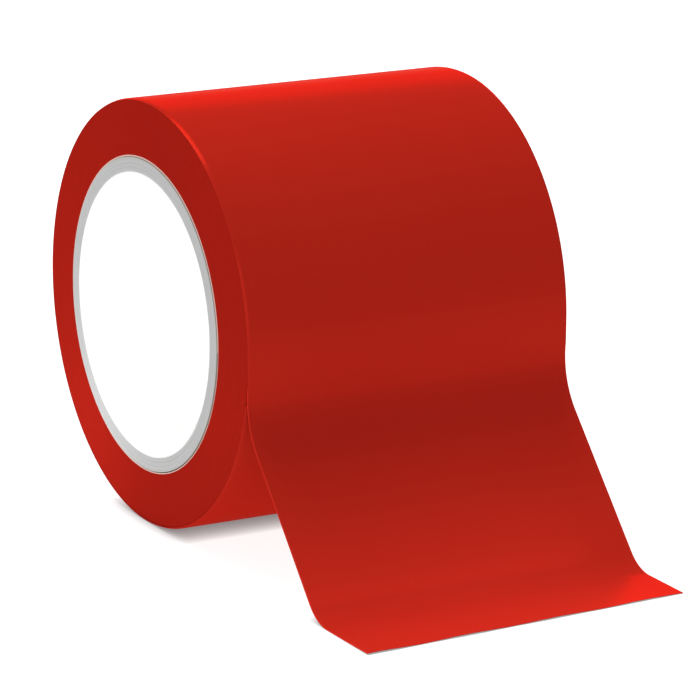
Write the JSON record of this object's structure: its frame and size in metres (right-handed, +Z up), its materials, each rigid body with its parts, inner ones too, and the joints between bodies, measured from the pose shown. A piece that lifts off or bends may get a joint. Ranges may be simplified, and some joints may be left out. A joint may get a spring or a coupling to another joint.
{
  "type": "duct tape roll",
  "caption": "Wide roll of cloth-backed adhesive tape wound on a paper core, with a free tail hanging from its front to the surface it stands on.",
  "frame": {"origin": "middle of the core's bore, on the roll's axis, half way along the core", "axes": "+Y along the roll's axis, +X towards the front where the tail leaves the roll, +Z up; the roll and its tail stand on the plane Z = -0.0578 m"},
  "size_m": [0.1789, 0.0982, 0.1156],
  "materials": {
    "red_film": "satin, smooth",
    "cotton_scrim": "open woven yarn",
    "grey_adhesive": "tacky, satin",
    "white_liner": "smooth, matt",
    "grey_board": "matt, cut edge",
    "pale_board": "matt, cut edge"
  },
  "bodies": {
    "roll": {"core_liner": "white_liner", "core_board_inner": "grey_board", "core_board_middle": "grey_board", "core_board_outer": "grey_board", "core_cover": "pale_board", "tape_windings": "red_film"},
    "outer_turn": {"outer_turn_film": "red_film", "outer_turn_scrim": "cotton_scrim", "outer_turn_adhesive": "grey_adhesive"},
    "tail": {"tail_film": "red_film", "tail_scrim": "cotton_scrim", "tail_adhesive": "grey_adhesive"},
    "free_end": {"free_end_film": "red_film", "free_end_scrim": "cotton_scrim", "free_end_adhesive": "grey_adhesive"}
  },
  "joints": [
    {"name": "unwind", "type": "hinge", "parent": "roll", "child": "outer_turn", "pos_m": [0, 0, 0], "axis": [0, -1, 0], "continuous": true},
    {"name": "tail_lift", "type": "hinge", "parent": "outer_turn", "child": "tail", "pos_m": [0.05802, 0, -0.01401], "axis": [0, -1, 0], "range_deg": [-30, 90]},
    {"name": "end_curl", "type": "hinge", "parent": "tail", "child": "free_end", "pos_m": [0.09541, 0, -0.05662], "axis": [0, -1, 0], "range_deg": [-47, 80]}
  ]
}
